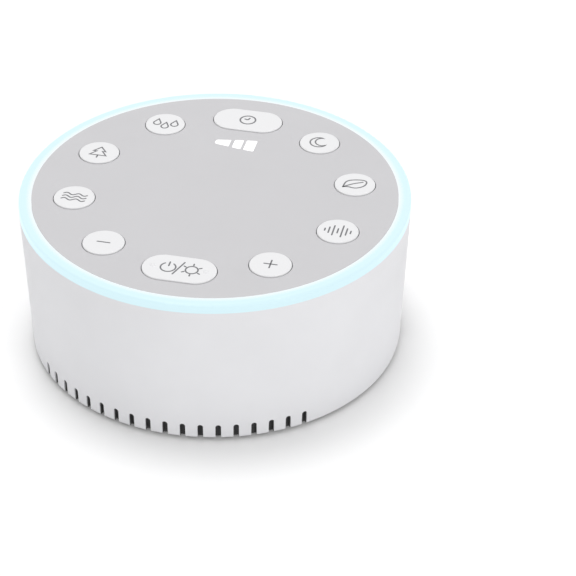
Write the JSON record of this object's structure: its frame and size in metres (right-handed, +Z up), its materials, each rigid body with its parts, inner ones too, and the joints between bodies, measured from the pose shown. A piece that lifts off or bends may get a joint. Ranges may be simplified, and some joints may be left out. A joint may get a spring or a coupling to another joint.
{
  "type": "white noise sound machine",
  "caption": "Low round table sound machine with a lit ring, a grey touch deck of round keys, wall slots at the foot and a rear cable port with its cord.",
  "frame": {"origin": "centre of the foot ring's resting face", "axes": "+Z up out of the deck, -Y towards the power key, +Y towards the cable port, +X to the plus key's side"},
  "size_m": [0.1157, 0.1605, 0.0447],
  "materials": {
    "housing": "white, fine matte texture",
    "light_ring": "translucent diffuser, lit pale cyan",
    "deck": "light grey, fine matte texture",
    "key": "near white, satin",
    "lit_window": "translucent, lit white",
    "base": "dark grey, matte",
    "foot": "soft, matte",
    "cloth": "thin black cloth",
    "steel": "plated, satin",
    "magnet": "sintered, matte",
    "cone": "pressed paper",
    "copper": "wound enamelled wire",
    "screw": "zinc plated",
    "board": "solder mask",
    "dark_part": "moulded, matte",
    "can": "satin",
    "lamp": "clear resin",
    "socket_plastic": "moulded, satin",
    "cord": "white soft jacket, satin"
  },
  "bodies": {
    "machine": {"base_cover": "base", "base_screws": "screw", "board_chips": "dark_part", "board_leds": "lamp", "board_screws": "screw", "capacitors": "can", "control_board": "board", "cord_coil": "cord", "cord_lead": "cord", "cord_tail": "cord", "deck": "deck", "far_plug_body": "cord", "far_plug_relief": "cord", "far_plug_shell": "steel", "far_plug_tongue": "socket_plastic", "foot_ring": "foot", "housing": "housing", "inner_frame": "base", "level_windows": "lit_window", "light_ring": "light_ring", "plug_body": "cord", "plug_collar": "cord", "plug_shell": "steel", "slot_cloth": "cloth", "speaker_basket": "steel", "speaker_gasket": "foot", "speaker_magnet": "magnet", "speaker_screws": "screw", "speaker_spider": "cloth", "speaker_surround": "foot", "speaker_top_plate": "steel", "speaker_yoke": "steel", "switch_bodies": "dark_part", "usb_board": "board", "usb_board_screws": "screw", "usb_socket": "steel", "wire_sockets": "socket_plastic"},
    "drops_key": {"key_drops": "key", "plunger_drops": "dark_part"},
    "leaf_key": {"key_leaf": "key", "plunger_leaf": "dark_part"},
    "minus_key": {"key_minus": "key", "plunger_minus": "dark_part"},
    "moon_key": {"key_moon": "key", "plunger_moon": "dark_part"},
    "plus_key": {"key_plus": "key", "plunger_plus": "dark_part"},
    "power_key": {"key_power": "key", "plunger_power": "dark_part"},
    "sea_key": {"key_sea": "key", "plunger_sea": "dark_part"},
    "timer_key": {"key_timer": "key", "plunger_timer": "dark_part"},
    "tree_key": {"key_tree": "key", "plunger_tree": "dark_part"},
    "wave_key": {"key_wave": "key", "plunger_wave": "dark_part"},
    "cone_assembly": {"speaker_cone": "cone", "voice_coil": "copper", "dust_cap": "cone"}
  },
  "joints": [
    {"name": "drops_press", "type": "slide", "parent": "machine", "child": "drops_key", "axis": [0, 0, -1], "range_m": [0, 0.0006], "stiffness_N_per_m": 800},
    {"name": "leaf_press", "type": "slide", "parent": "machine", "child": "leaf_key", "axis": [0, 0, -1], "range_m": [0, 0.0006], "stiffness_N_per_m": 800},
    {"name": "minus_press", "type": "slide", "parent": "machine", "child": "minus_key", "axis": [0, 0, -1], "range_m": [0, 0.0006], "stiffness_N_per_m": 800},
    {"name": "moon_press", "type": "slide", "parent": "machine", "child": "moon_key", "axis": [0, 0, -1], "range_m": [0, 0.0006], "stiffness_N_per_m": 800},
    {"name": "plus_press", "type": "slide", "parent": "machine", "child": "plus_key", "axis": [0, 0, -1], "range_m": [0, 0.0006], "stiffness_N_per_m": 800},
    {"name": "power_press", "type": "slide", "parent": "machine", "child": "power_key", "axis": [0, 0, -1], "range_m": [0, 0.0006], "stiffness_N_per_m": 800},
    {"name": "sea_press", "type": "slide", "parent": "machine", "child": "sea_key", "axis": [0, 0, -1], "range_m": [0, 0.0006], "stiffness_N_per_m": 800},
    {"name": "timer_press", "type": "slide", "parent": "machine", "child": "timer_key", "axis": [0, 0, -1], "range_m": [0, 0.0006], "stiffness_N_per_m": 800},
    {"name": "tree_press", "type": "slide", "parent": "machine", "child": "tree_key", "axis": [0, 0, -1], "range_m": [0, 0.0006], "stiffness_N_per_m": 800},
    {"name": "wave_press", "type": "slide", "parent": "machine", "child": "wave_key", "axis": [0, 0, -1], "range_m": [0, 0.0006], "stiffness_N_per_m": 800},
    {"name": "cone_travel", "type": "slide", "parent": "machine", "child": "cone_assembly", "axis": [0, 0, 1], "range_m": [-0.001, 0.001], "stiffness_N_per_m": 1500, "deforming": ["speaker_surround", "speaker_spider"]}
  ]
}
